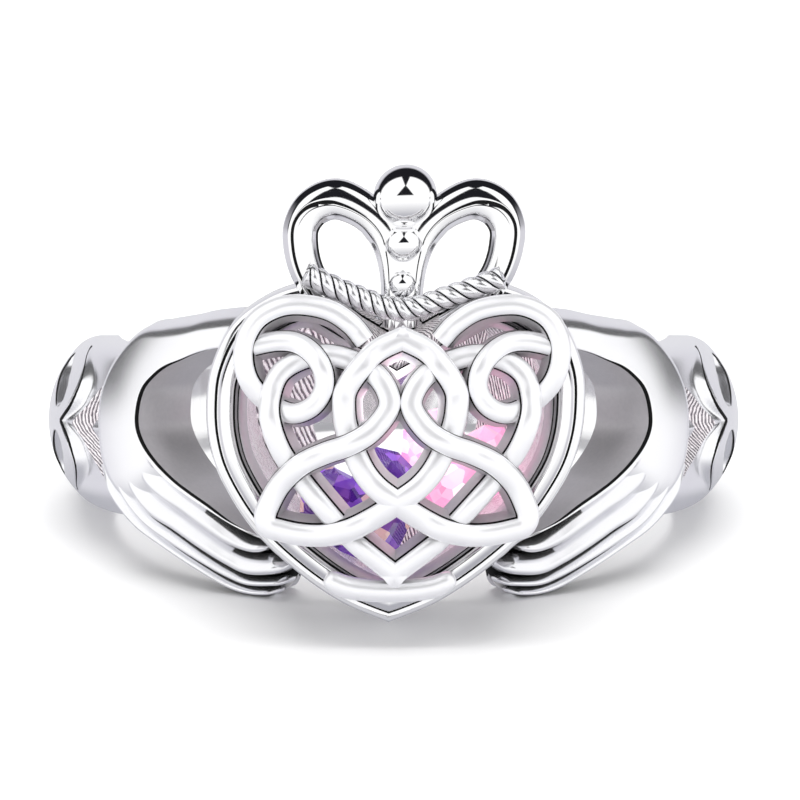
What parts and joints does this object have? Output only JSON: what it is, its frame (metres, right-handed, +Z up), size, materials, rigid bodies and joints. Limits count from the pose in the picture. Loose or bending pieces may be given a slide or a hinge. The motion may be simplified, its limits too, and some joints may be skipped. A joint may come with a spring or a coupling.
{
  "type": "claddagh ring",
  "caption": "Silver finger ring of two hands that hold a crowned, heart-shaped cage with an open knot front and loose heart-cut stones inside.",
  "frame": {"origin": "middle of the ring's length and width, on the surface it lies on", "axes": "-Y from the finger to the heart, +Z up, towards the crown, and +X to the right in the picture"},
  "size_m": [0.0216, 0.0248, 0.0137],
  "materials": {
    "ring_silver": "polished silver, as cast inside the heart",
    "knot_silver": "polished silver",
    "purple_stone": "cut and polished, deep purple",
    "pink_stone": "cut and polished, pink"
  },
  "bodies": {
    "root": {"ring": "ring_silver", "knot_cover": "knot_silver", "purple_stone": "purple_stone", "pink_stone": "pink_stone"}
  },
  "joints": []
}
